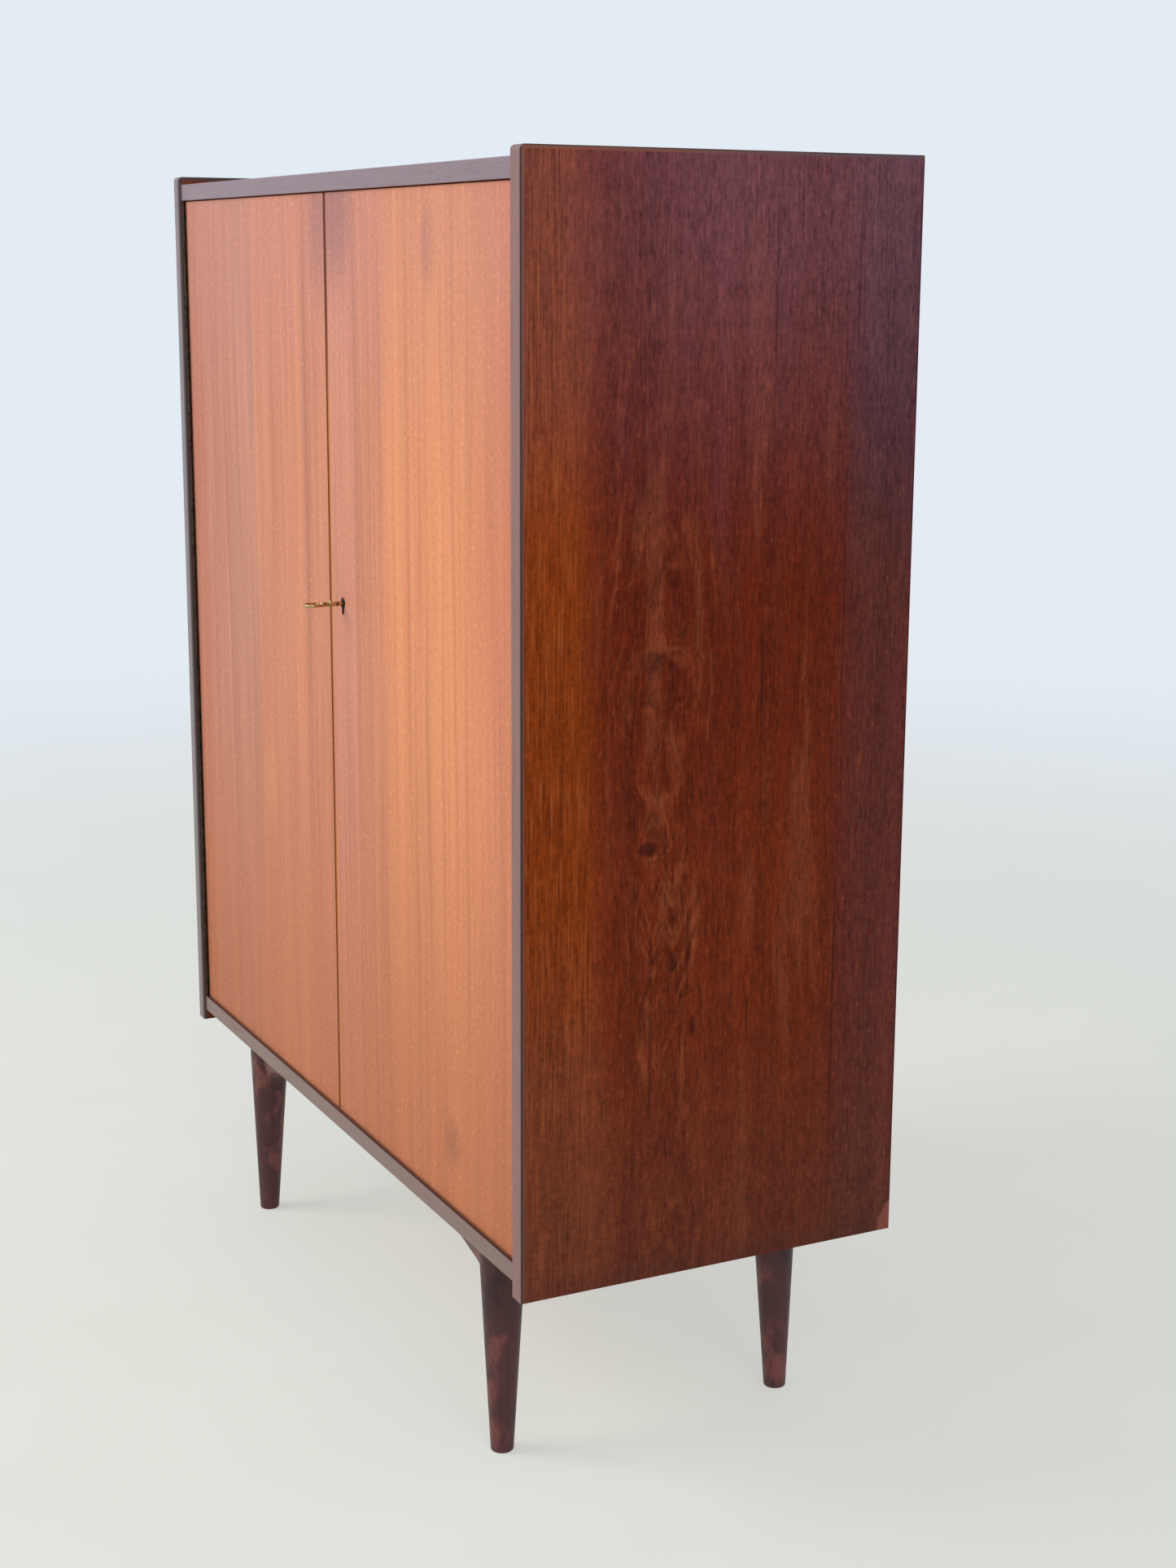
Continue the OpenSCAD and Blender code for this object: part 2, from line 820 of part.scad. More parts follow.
left_side_panel();
right_side_panel();
left_front_lipping();
right_front_lipping();
left_top_lipping();
right_top_lipping();
top_panel();
top_panel_lipping();
bottom_panel();
bottom_panel_lipping();
centre_partition();
partition_lipping();
back_panel();
back_panel_screws();
carcass_dowels();
upper_shelf();
middle_shelf();
lower_shelf();
hat_shelf();
shelf_pins();
garment_rail();
garment_rail_brackets();
front_rail();
rear_rail();
rail_screws();
leg_dowels();
leg_front_left();
leg_front_right();
leg_rear_left();
leg_rear_right();
left_door();
right_door();
left_hinge_frame_leaf();
right_hinge_frame_leaf();
left_hinge_door_leaf();
right_hinge_door_leaf();
left_hinge_pin();
right_hinge_pin();
magnetic_catch();
catch_plate();
keyhole_insert();
lock_case();
lock_screws();
lock_bolt();
strike_plate();
key();
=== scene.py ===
"""A two-door wardrobe on a low frame with four turned legs: its finishes and small fittings."""
import math

import bpy
import numpy as np
from mathutils import Matrix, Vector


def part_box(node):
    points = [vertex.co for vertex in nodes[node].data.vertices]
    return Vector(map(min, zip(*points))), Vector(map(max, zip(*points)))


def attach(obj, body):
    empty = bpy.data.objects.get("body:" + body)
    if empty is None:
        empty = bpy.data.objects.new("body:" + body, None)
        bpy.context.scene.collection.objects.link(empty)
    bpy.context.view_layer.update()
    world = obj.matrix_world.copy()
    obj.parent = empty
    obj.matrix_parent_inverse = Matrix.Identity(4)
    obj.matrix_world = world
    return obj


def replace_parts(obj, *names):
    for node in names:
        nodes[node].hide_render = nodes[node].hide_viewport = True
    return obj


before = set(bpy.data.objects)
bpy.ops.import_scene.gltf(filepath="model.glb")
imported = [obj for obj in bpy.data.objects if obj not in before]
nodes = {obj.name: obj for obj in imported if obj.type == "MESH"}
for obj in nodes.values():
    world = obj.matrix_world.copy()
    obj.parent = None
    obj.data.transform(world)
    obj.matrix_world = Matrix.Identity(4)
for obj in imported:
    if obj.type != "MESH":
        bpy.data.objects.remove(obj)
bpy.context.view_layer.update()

# --------------------------------------------------------------------------------------------------
# The two sides. Blockboard, faced outside with a crown-cut leaf of red-brown veneer whose heart
# figure stands in the front half, and inside with plain striped veneer. The leaf was laid whole,
# stained and satin lacquered. The right one has lost a sliver at its bottom rear corner.


class Value:
    """A socket of a finish. Arithmetic on it adds Math nodes, so 1 - mask reads as it is meant."""

    def __init__(self, finish, socket):
        self.finish, self.socket = finish, socket

    def math(self, operation, *others):
        inputs = dict(enumerate([self, *others]))
        return self.finish.node("ShaderNodeMath", {"operation": operation}, inputs)

    def __add__(self, other):
        return self.math("ADD", other)

    def __sub__(self, other):
        return self.math("SUBTRACT", other)

    def __mul__(self, other):
        return self.math("MULTIPLY", other)

    def __truediv__(self, other):
        return self.math("DIVIDE", other)

    def __pow__(self, other):
        return self.math("POWER", other)

    def __rsub__(self, other):
        return self * -1 + other

    __radd__, __rmul__ = __add__, __mul__

    def size(self):
        """The value without its sign."""
        return self.math("ABSOLUTE")

    def most(self, other):
        """The larger of the two."""
        return self.math("MAXIMUM", other)

    def rise(self, low, high):
        """0 where the value is low, 1 where it is high, and a smooth step between; low may be
        above high."""
        if low > high:
            return 1 - self.rise(high, low)
        return self.finish.node("ShaderNodeMapRange", {"interpolation_type": "SMOOTHSTEP"},
                                {"Value": self, "From Min": low, "From Max": high})


class Finish:
    """A material, or the studio's world. Its node method adds any node."""

    def __init__(self, name, kind="materials"):
        self.owner = getattr(bpy.data, kind).new(name)
        self.owner.use_nodes = True
        self.tree = self.owner.node_tree
        self.tree.nodes.clear()

    def node(self, kind, settings=None, inputs=None, output=0):
        """Adds a node: its settings first, then the values or links of its sockets. Output names
        the socket that is wanted, or several."""
        made = self.tree.nodes.new(kind)
        for key, value in (settings or {}).items():
            if key == "curve":
                points = made.mapping.curves[0].points
                for end, at in zip(points, (value[0], value[-1])):
                    end.location = at
                for at in value[1:-1]:
                    points.new(*at)
                made.mapping.update()
            else:
                setattr(made, key, value)
        for key, value in (inputs or {}).items():
            if isinstance(value, Value):
                self.tree.links.new(value.socket, made.inputs[key])
            else:
                made.inputs[key].default_value = value
        if isinstance(output, tuple):
            return [Value(self, made.outputs[each]) for each in output]
        return Value(self, made.outputs[output])

    def place(self):
        """Where a point of the piece is, as x, y and z in metres."""
        coordinates = self.node("ShaderNodeTexCoord", output="Object")
        return self.node("ShaderNodeSeparateXYZ", inputs={0: coordinates}, output=(0, 1, 2))

    def noise(self, *where, detail=2.0, rough=0.5):
        """Soft noise from 0 to 1 with lumps about one unit wide, at up to three coordinates."""
        point = self.node("ShaderNodeCombineXYZ", inputs=dict(enumerate(where)))
        return self.node("ShaderNodeTexNoise", inputs={
            "Vector": point, "Scale": 1.0, "Detail": detail, "Roughness": rough})

    def mix(self, low, high, factor):
        """The colour low where factor is 0 and high where it is 1."""
        return self.node("ShaderNodeMix", {"data_type": "RGBA"}, {0: factor, 6: low, 7: high}, 2)

    def dim(self, colour, factor):
        """A colour made lighter or darker by a factor."""
        return self.node("ShaderNodeVectorMath", {"operation": "SCALE"},
                         {0: colour, "Scale": factor})

    def skin(self, colour, roughness, height, depth, **constants):
        """Closes the finish: its colour, its roughness, its fine relief and how far that stands
        up, in metres."""
        relief = self.node("ShaderNodeBump", inputs={
            "Strength": 1.0, "Distance": depth, "Height": height})
        shader = self.node("ShaderNodeBsdfPrincipled", inputs={
            "Base Color": colour, "Roughness": roughness, "Normal": relief,
            **{name.replace("_", " "): value for name, value in constants.items()}})
        self.node("ShaderNodeOutputMaterial", inputs={"Surface": shader}, output=())
        return self.owner


def shade(red, green, blue):
    """A colour given as 0 to 255 on screen, in the linear terms that shaders use, by the sRGB
    curve."""
    return tuple((c / 3294.6 if c <= 10.3 else ((c / 255 + 0.055) / 1.055) ** 2.4)
                 for c in (red, green, blue)) + (1.0,)


def clothe(material, *names):
    """Gives CAD nodes a finish."""
    for name in names:
        for slot in nodes[name].material_slots:
            slot.material = material


def pores(finish, across, along, seed):
    """Open pores: short dark dashes along the grain, 1 in a pore and 0 outside."""
    return finish.noise(across * 1500, along * 42, seed, detail=1.0).rise(0.62, 0.72)


def spot(finish, place, middle, half, softness, strength, noise=0.0):
    """Strength inside an oval spot and 0 outside, with an edge that the noise makes ragged. Place
    is a vector; middle and half are the oval's middle and half its size along each axis."""
    scaled = finish.node("ShaderNodeVectorMath", {"operation": "MULTIPLY_ADD"}, {
        0: place, 1: [1 / size for size in half],
        2: [-at / size for at, size in zip(middle, half)]})
    away = finish.node("ShaderNodeVectorMath", {"operation": "LENGTH"}, {0: scaled}, 1)
    return finish.node("ShaderNodeMapRange", {"interpolation_type": "SMOOTHSTEP"}, {
        "Value": away + noise, "From Min": 1 - softness, "From Max": 1 + softness,
        "To Min": strength, "To Max": 0.0})


# How deep the cut lay from the tree's heart, from the foot of the leaf to its head, as shares of
# the deepest cut: each dip draws a closed eye
cut_depth = [
    (0.0, 0.14), (0.10, 0.10), (0.20, 0.17), (0.26, 0.12), (0.315, 0.24), (0.35, 0.16),
    (0.385, 0.30), (0.41, 0.16), (0.44, 0.26), (0.475, 0.12), (0.515, 0.22), (0.535, 0.13),
    (0.551, 0.03), (0.567, 0.14), (0.59, 0.26), (0.64, 0.36), (0.70, 0.47), (0.80, 0.62),
    (0.90, 0.82), (1.0, 1.0),
]
deepest_cut = 0.095
heart_y = -0.043  # where the middle of the heart figure stands across the right side


def side_veneer(name, heart, seed, darks, pales, chipped):
    """Growth rings are lines of equal distance from the heart: the root of (across squared +
    depth squared), where the depth of the cut changes up the leaf. Noise along those rings gives
    their light and dark lines. Chipped is 1 for the side with a lost sliver, else 0."""
    f = Finish(name)
    x, y, z = f.place()
    flat = f.node("ShaderNodeCombineXYZ", inputs={0: y, 1: z})
    (inner, _, low), (outer, rear_edge, high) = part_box("right_side_panel")
    up = (z - low) / (high - low)

    # The figure: rings round the heart, and grain of several widths all over
    wander = f.noise(y * 6, z * 2.2, seed) - 0.5
    depth = f.node("ShaderNodeFloatCurve", {"curve": cut_depth}, {"Factor": 1.0, "Value": up})
    depth = depth * deepest_cut
    across = y - heart + wander * 0.026
    shake = f.noise(y * 75, z * 19, seed + 3, detail=3.0, rough=0.55) - 0.5
    near = across.size().rise(0.080, 0.015) * (z.rise(1.06, 0.92) * 0.7 + 0.3)
    ring = (across * across + depth * depth) ** 0.5 + shake * (near * 0.022 + 0.002)
    rings = f.noise(ring * 150, z * 9, seed + 5, detail=3.0, rough=0.6)
    # Below the eyes the rings run into two columns of nested Vs, side by side
    fold = ((across - 0.002).size() - 0.011).size()
    vee = f.noise((z - fold * 2.4 + shake * 0.030) * 62, across * 26, seed + 6, detail=1.5)
    vees = spot(f, flat, (heart + 0.010, 0.588, 0), (0.032, 0.085, 1), 0.35, 1.0, shake * 1.5)
    band = f.noise(y * 48 + wander * 2, z * 1.3, seed + 7, detail=2.0)
    tint = f.noise(y * 30 + wander, z * 2.6, seed + 8, detail=3.0, rough=0.6)
    fine = f.noise(y * 430, z * 13, seed + 9, detail=3.0)
    dash = f.noise(y * 380, z * 56, seed + 10, detail=3.0, rough=0.65)
    mottle = f.noise(y * 60, z * 36, seed + 11, detail=4.0, rough=0.6)
    fleck = f.noise(y * 210, z * 170, seed + 12, detail=2.0, rough=0.6)
    pore = pores(f, y, z, seed + 13)

    # The stain: golden in the front part, red-brown in the middle, cooler at the rear and the top,
    # where a purple-grey haze, strongest at the rear, is painted sheen of the lacquer
    ragged = ((fine - 0.5) * 0.055 + (band - 0.5) * 0.05 + wander * 0.03
              + (z - 0.80) * 0.022)
    front = (y + ragged).rise(-0.094, -0.138)
    rear = ((y + (band - 0.5) * 0.03 + (fine - 0.5) * 0.012).rise(0.146, 0.172) * 0.55
            + (y + (band - 0.5) * 0.08).rise(0.10, 0.22) * 0.45)
    glowing = f.mix(shade(126, 58, 30), shade(130, 52, 6), z.rise(0.42, 0.66) * z.rise(1.14, 0.96))
    colour = f.mix(f.mix(shade(106, 38, 12), shade(98, 31, 9), z.rise(0.62, 0.86)), glowing, front)
    reddish = f.mix(shade(102, 36, 19), shade(98, 38, 36), z.rise(0.85, 1.05))
    colour = f.mix(colour, reddish, tint.rise(0.54, 0.66) * (1 - front) * 0.60)
    colour = f.mix(colour, shade(124, 60, 36), tint.rise(0.46, 0.34) * (1 - front) * 0.50)
    colour = f.mix(colour, f.mix(shade(92, 42, 36), shade(72, 40, 46), z.rise(0.85, 1.15)), rear)
    # Painted sheen: a purple-grey haze over the top of the leaf, strongest towards the rear
    painted_sheen = z.rise(0.90, 1.40) * (y.rise(-0.19, 0.02) * 0.47 + 0.25)
    colour = f.mix(colour, shade(116, 74, 84), painted_sheen)
    colour = f.mix(colour, shade(100, 54, 40), z.rise(0.56, 0.20) * 0.55)

    # The light and dark lines of the rings and Vs, then the grain
    contrast = near * 0.82 + front * 0.10 + 0.18
    colour = f.mix(colour, shade(140, 68, 36), rings.rise(0.50, 0.74) * contrast * 0.70)
    colour = f.mix(colour, shade(54, 14, 6), rings.rise(0.48, 0.24) * contrast * 0.75)
    colour = f.mix(colour, shade(142, 72, 42), vee.rise(0.50, 0.62) * vees * 0.42)
    colour = f.mix(colour, shade(50, 16, 9), vee.rise(0.44, 0.34) * vees * 0.35)
    clear = z.rise(0.28, 0.60)
    tone = ((band - 0.5) * 0.7
            + (fine - 0.5) * (front * 0.55 + 0.80) * (clear * 0.45 + 0.55)
            + (dash - 0.5) * (1.55 - front * 0.40) * (clear * 0.3 + 0.7)
            + (mottle - 0.5) * 0.60 + (fleck - 0.5) * 0.85)
    paler = z.rise(0.80, 1.02) * y.rise(-0.03, -0.10) * 0.07
    darker = z.rise(0.42, 0.25) * (y.rise(-0.16, -0.06) * 0.02 + 0.04)
    colour = f.dim(colour, tone + 1.0 + paler - darker)
    # Fine pale lines in the front part, and short pale flecks all over
    lines = fine.rise(0.52, 0.68) * front * (clear * 0.34 + 0.14)
    colour = f.mix(colour, shade(156, 84, 44), lines)
    flecks = dash.rise(0.58, 0.74) * fleck.rise(0.42, 0.6) * 0.55
    colour = f.mix(colour, shade(142, 74, 52), flecks)

    # The marks, the edges and the chip
    pale, dark = 0.0, pore * 0.22
    for *middle, half_y, half_z, strength in pales:
        half = (half_y, half_z, 1)
        pale = spot(f, flat, (*middle, 0), half, 0.6, strength, shake * 2.2).most(pale)
    pale = pale * (dash.rise(0.30, 0.62) * 0.7 + rings.rise(0.35, 0.65) * 0.6)
    colour = f.mix(colour, shade(138, 68, 40), pale)
    for *middle, half_y, half_z, strength in darks:
        half = (half_y, half_z, 1)
        dark = dark.most(spot(f, flat, (*middle, 0), half, 0.45, strength, shake * 1.4))
    colour = f.mix(colour, shade(44, 14, 9), dark)
    # The stain lies darkest along the rear arris and the lower one
    rear_arris = y.rise(rear_edge - 0.0022, rear_edge - 0.0008)
    colour = f.mix(colour, shade(48, 26, 28), rear_arris * 0.75)
    colour = f.mix(colour, shade(58, 40, 38), z.rise(low + 0.034, low) * (dash * 0.3 + 0.1))
    chip = spot(f, flat, (0.238, 0.236, 0), (0.018, 0.024, 1), 0.12, chipped, shake * 1.2)
    colour = f.mix(colour, f.mix(shade(106, 52, 44), shade(150, 88, 76), dash), chip)

    # The inner half is plain, paler and unstained between the bottom panel and the top panel
    bay_foot, bay_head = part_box("bottom_panel")[0].z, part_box("top_panel")[1].z
    core = (inner + outer) / 2
    inside = (x.size().rise(core, core - 0.0001) * z.rise(bay_head, bay_head - 0.0002)
              * z.rise(bay_foot, bay_foot + 0.0002))
    stripe = f.noise(y * 260, z * 3, seed + 17, detail=3.0)
    plain = f.dim(f.mix(shade(150, 92, 58), shade(178, 118, 78), stripe), mottle * 0.2 + 0.9)
    colour = f.mix(colour, f.mix(plain, shade(90, 48, 28), pore * 0.5), inside)
    relief = fine * 0.3 + dash * 0.3 - pore * 1.0 - chip * 4
    return f.skin(colour, 0.40 + mottle * 0.14 + pore * 0.2, relief, 0.0001,
                  Specular_IOR_Level=0.06)


# Marks in the leaf: where each one is, half its width, half its height, how strong
dark_marks = [
    (-0.061, 0.677, 0.011, 0.006, 0.7), (-0.056, 0.700, 0.010, 0.014, 0.35),
    (-0.032, 0.556, 0.005, 0.006, 0.5), (-0.009, 0.492, 0.003, 0.010, 0.6),
    (-0.056, 0.570, 0.0022, 0.026, 0.45), (-0.015, 0.565, 0.0022, 0.040, 0.45),
    (0.064, 0.840, 0.0013, 0.045, 0.6), (0.054, 0.490, 0.0012, 0.022, 0.5),
    (0.156, 0.880, 0.0012, 0.110, 0.4), (0.155, 0.480, 0.0014, 0.190, 0.5),
    (0.165, 1.240, 0.0014, 0.070, 0.25), (-0.056, 0.460, 0.0018, 0.060, 0.35),
    (-0.062, 1.001, 0.0014, 0.0014, 0.7), (-0.058, 0.858, 0.013, 0.012, 0.4),
    (-0.036, 0.846, 0.004, 0.026, 0.35), (0.072, 1.215, 0.0012, 0.090, 0.4),
]
pale_marks = [
    (-0.032, 0.772, 0.009, 0.024, 0.5), (-0.036, 0.950, 0.012, 0.004, 0.3),
    (-0.044, 0.871, 0.018, 0.004, 0.35), (-0.052, 0.712, 0.014, 0.020, 0.3),
    (-0.041, 0.628, 0.006, 0.013, 0.5), (-0.026, 0.618, 0.004, 0.012, 0.5),
    (-0.008, 0.632, 0.003, 0.018, 0.4), (-0.045, 0.592, 0.005, 0.016, 0.4),
    (-0.104, 0.765, 0.003, 0.130, 0.3), (-0.094, 1.060, 0.003, 0.100, 0.3),
    (0.180, 0.743, 0.0018, 0.009, 0.6), (-0.020, 0.430, 0.004, 0.050, 0.3),
]
clothe(side_veneer("stained_veneer_right", heart_y, 1.0, dark_marks, pale_marks, 1.0),
       "right_side_panel")
clothe(side_veneer("stained_veneer_left", heart_y + 0.02, 40.0, dark_marks[6:11],
                   pale_marks[-4:-2], 0.0), "left_side_panel")

# --------------------------------------------------------------------------------------------------
# The edges. Solid lippings, 4 mm thick, glued to the front and top of the sides and to the front
# of the top and bottom panels, rounded on their arrises and rubbed to a greyish purple-brown.


def edge_wood(name, along, across, dark, light, shelf=None, corner=0.0):
    """The grain runs along the lipping. Above the height of a shelf, the face is painted dark, a
    painted shade of the ledge that a door stands over. A lipping of a side, which runs along y or
    z, is stained on its outer face as the side is, and has painted shade in its corner by the door,
    as much as corner says."""
    f = Finish(name)
    x, y, z = place = f.place()
    run, over = place[along], place[across]
    streak = f.noise(over * 900, run * 9, 2.0, detail=3.0)
    cloud = f.noise(over * 60, run * 7, 5.0, detail=2.0)
    pore = pores(f, over, run, 8.0)
    colour = f.mix(dark, light, streak * 0.6 + cloud * 0.5 - 0.05)
    colour = f.mix(colour, shade(116, 66, 48), cloud.rise(0.58, 0.72) * 0.35)
    colour = f.mix(colour, shade(66, 40, 36), pore * 0.3)
    if shelf is not None:
        # Painted shade on the face of the ledge under the door
        colour = f.mix(colour, shade(78, 46, 40), z.rise(shelf - 0.0004, shelf - 0.0001))
    if along > 0:
        inner, front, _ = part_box("right_front_lipping")[0]
        outer, _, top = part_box("right_top_lipping")[1]
        # Painted shade in the corner by the door, as much as corner says
        painted_shade_by_door = x.size().rise(inner + 0.0095, inner + 0.0020)
        colour = f.mix(colour, shade(54, 38, 33), painted_shade_by_door * corner)
        stained = f.mix(shade(103, 54, 31), shade(108, 45, 10), z.rise(0.34, 0.62))
        stained = f.mix(stained, shade(120, 62, 42), z.rise(0.92, 1.22))
        # Towards the rear it turns purple-grey, partly the side's cooler rear colour and partly its
        # painted sheen
        stained = f.mix(stained, shade(88, 56, 60), y.rise(-0.15, 0.18))
        arris = y.rise(front + 0.0027, front + 0.0011).most(z.rise(top - 0.0016, top - 0.0004))
        stained = f.mix(f.dim(stained, streak * 0.5 + 0.75), shade(42, 20, 14), arris)
        colour = f.mix(colour, stained, x.size().rise(outer - 0.0016, outer - 0.0006))
    return f.skin(colour, 0.34 + cloud * 0.14, streak * 0.5 - pore, 0.0001,
                  Specular_IOR_Level=0.4)


clothe(edge_wood("lipping_right_upright", 2, 0, shade(112, 76, 72), shade(156, 116, 110)),
       "right_front_lipping")
# The left upright is greyer and paler than the right one, a painted reflection, with painted shade
# in its corner by the door
clothe(edge_wood("lipping_left_upright_painted_light", 2, 0, shade(106, 88, 88), shade(152, 134, 134),
                 corner=0.92), "left_front_lipping")
clothe(edge_wood("lipping_sides_top", 1, 0, shade(60, 40, 40), shade(92, 68, 66)),
       "left_top_lipping", "right_top_lipping")
clothe(edge_wood("lipping_top", 0, 2, shade(118, 97, 105), shade(152, 131, 138)),
       "top_panel_lipping")
clothe(edge_wood("lipping_bottom", 0, 2, shade(108, 84, 78), shade(150, 120, 112),
                 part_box("bottom_panel_lipping")[1].z), "bottom_panel_lipping")

# --------------------------------------------------------------------------------------------------
# The doors. Blockboard 18 mm thick, lipped all round and faced with straight-grained veneer in
# several leaves, so that bands of colour stand side by side, and bleached by light to salmon and
# gold. Each hangs on a piano hinge along its outer edge.


def door_veneer(name, seed, bands, blots, pale, line_width, line_colour):
    """Bands are smooth steps of colour across the door; streaks are noise drawn out along the
    grain. The line runs down the meeting edge, as far as its width from the middle of the wardrobe:
    on the right door the lipping that shows, on the left door painted shade of the gap."""
    f = Finish(name)
    x, y, z = f.place()
    flat = f.node("ShaderNodeCombineXYZ", inputs={0: x, 1: z})
    wide = f.noise(x * 34, z * 0.8, seed, detail=2.0)
    drift = f.noise(x * 14, z * 2.4, seed + 2, detail=2.0) - 0.5
    mid = f.noise(x * 104 + drift * 1.6, z * 2.4, seed + 3, detail=1.8, rough=0.5)
    fine = f.noise(x * 320, z * 32, seed + 5, detail=2.0, rough=0.6)
    fleck = f.noise(x * 200, z * 190, seed + 7, detail=3.0, rough=0.65)
    pore = pores(f, x, z, seed + 9)

    colour = bands[0][1]
    for start, tint, reach in bands[1:]:
        colour = f.mix(colour, tint, (x + (wide - 0.5) * 0.012).rise(start, start + reach))
    streaks = mid.rise(0.46, 0.72) * (fine.rise(0.30, 0.62) * 0.5 + 0.5)
    colour = f.mix(colour, pale, streaks * 0.40)
    colour = f.mix(colour, shade(172, 96, 70), mid.rise(0.48, 0.28) * 0.28)
    # Darker and browner towards the foot of the door, partly the veneer's own colour and partly
    # painted shade of light from above
    colour = f.mix(colour, shade(184, 102, 60), z.rise(0.86, 0.22) * 0.80)
    # Painted reflection: the head of the door turns greyish pink, as satin lacquer reflecting the
    # light
    colour = f.mix(colour, shade(196, 132, 122), z.rise(0.95, 1.32) * 0.42)
    for *middle, half_x, half_z, tint, strength in blots:
        mark = spot(f, flat, (*middle, 0), (half_x, half_z, 1), 0.75, strength,
                    fleck * 0.6 - 0.3)
        colour = f.mix(colour, tint, mark)
    tone = (wide - 0.5) * 0.30 + (mid - 0.5) * 0.12 + (fine - 0.5) * 0.09 + (fleck - 0.5) * 0.50
    # Darker again towards the foot, most at the left door's outer side: partly painted shade
    darker = z.rise(0.50, 0.26) * (x.rise(-0.1, -0.5) * 0.06 + 0.02)
    colour = f.dim(colour, tone + 1.0 - darker)
    colour = f.mix(colour, shade(244, 170, 122), fleck.rise(0.58, 0.70) * 0.30)
    colour = f.mix(colour, shade(140, 72, 46), pore * 0.16)

    # The meeting edge shows a line: the golden solid lipping on the right door, painted shade of
    # the gap on the left. The lippings on the edges are golden by the meeting edge and redder on
    # the others
    line = x.size().rise(line_width, line_width - 0.0006)
    golden = f.mix(line_colour, shade(96, 42, 22), z.rise(1.05, 1.20))
    colour = f.mix(colour, f.dim(golden, fleck * 0.6 + 0.7), line)
    face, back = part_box("right_door")[0].y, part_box("right_door")[1].y
    lipping = f.mix(shade(176, 92, 10), shade(78, 38, 26), x.size().rise(0.2, 0.4))
    lipping = f.dim(lipping, fine * 0.4 + 0.8)
    colour = f.mix(colour, lipping, y.rise(face + 0.0004, face + 0.0006))
    stripe = f.dim(f.mix(shade(152, 94, 60), shade(182, 122, 82), mid), fleck * 0.2 + 0.9)
    colour = f.mix(colour, stripe, y.rise(back - 0.0004, back - 0.0002))
    return f.skin(colour, 0.42 + fleck * 0.12, fine * 0.4 + mid * 0.3 - pore, 0.00003,
                  Specular_IOR_Level=0.25)


greyed, salmon, amber = shade(191, 126, 99), shade(206, 128, 94), shade(222, 139, 90)
purple, gold = shade(154, 104, 100), shade(234, 152, 98)
# Bands: where each begins across the door, its colour, and how wide its beginning is. The first
# fills the door.
left_bands = [
    (None, shade(187, 116, 90)), (-0.430, shade(188, 121, 95), 0.02), (-0.350, greyed, 0.02),
    (-0.246, salmon, 0.005),
]
right_bands = [
    (None, shade(208, 133, 105)), (0.074, salmon, 0.010), (0.130, amber, 0.06),
    (0.36, shade(210, 126, 88), 0.1),
]
# Blots: where each one is, half its width, half its height, its colour, how strong. The purple ones
# at the heads of the doors are partly worn finish and partly painted reflection
left_blots = [
    (-0.016, 1.290, 0.034, 0.085, purple, 0.55), (-0.215, 0.62, 0.02, 0.05, gold, 0.25),
    (-0.095, 0.95, 0.008, 0.30, gold, 0.3), (-0.068, 1.00, 0.006, 0.35, shade(160, 92, 70), 0.35),
]
right_blots = [
    (0.034, 1.285, 0.042, 0.068, purple, 0.68), (0.285, 1.245, 0.016, 0.036, purple, 0.42),
    (0.33, 0.335, 0.018, 0.022, shade(146, 88, 64), 0.5), (0.206, 0.95, 0.018, 0.30, gold, 0.34),
    (0.297, 0.95, 0.016, 0.34, gold, 0.34), (0.083, 1.05, 0.007, 0.30, shade(176, 110, 90), 0.4),
    (0.226, 0.95, 0.006, 0.32, shade(168, 96, 64), 0.3),
]
# On the left door the line down the meeting edge is dark brown, painted shade of the gap between
# the doors
clothe(door_veneer("door_veneer_left", 3.0, left_bands, left_blots, shade(220, 150, 116),
                   0.0026, shade(100, 58, 30)), "left_door")
clothe(door_veneer("door_veneer_right", 23.0, right_bands, right_blots, shade(234, 152, 104),
                   0.0058, shade(184, 98, 14)), "right_door")

# --------------------------------------------------------------------------------------------------
# The inside. Top and bottom panels, partition and shelves of veneered board without stain, paler
# than outside; a golden lipping on the partition's front edge, a plywood back let into a rebate,
# and beech dowels in the joints.


def inside_veneer(name, along, across, seed, stained_above=None):
    """The boards are striped along their grain by noise drawn out along it. Above a height, the
    face is stained as the sides are."""
    f = Finish(name)
    place = f.place()
    run, over = place[along], place[across]
    stripe = f.noise(over * 70, run * 1.2, seed, detail=3.0)
    line = f.noise(over * 190, run * 2.0, seed + 2, detail=3.0, rough=0.6)
    fine = f.noise(over * 520, run * 6, seed + 3, detail=2.0)
    fleck = f.noise(over * 150, run * 50, seed + 5, detail=3.0)
    pore = pores(f, over, run, seed + 7)
    colour = f.mix(shade(146, 90, 56), shade(190, 130, 88), stripe * 0.8 + fine * 0.3 - 0.05)
    colour = f.mix(colour, shade(112, 62, 36), line.rise(0.56, 0.68) * 0.45)
    colour = f.dim(colour, fleck * 0.3 + fine * 0.3 + 0.7)
    if stained_above is not None:
        stain = f.mix(shade(88, 36, 22), shade(132, 68, 46), stripe * 0.5 + line * 0.6 - 0.05)
        stained = place[2].rise(stained_above - 0.0004, stained_above)
        colour = f.mix(colour, f.dim(stain, fine * 0.6 + 0.7), stained)
    colour = f.mix(colour, shade(70, 34, 22), pore * 0.5)
    return f.skin(colour, 0.48 + fleck * 0.12, fine * 0.4 - pore, 0.0001, Specular_IOR_Level=0.35)


clothe(inside_veneer("inside_veneer_across", 0, 1, 3.0),
       "bottom_panel", "upper_shelf", "middle_shelf", "lower_shelf", "hat_shelf")
clothe(inside_veneer("top_panel_veneer", 0, 1, 13.0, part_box("top_panel")[1].z), "top_panel")
clothe(inside_veneer("inside_veneer_upright", 2, 1, 33.0), "centre_partition")


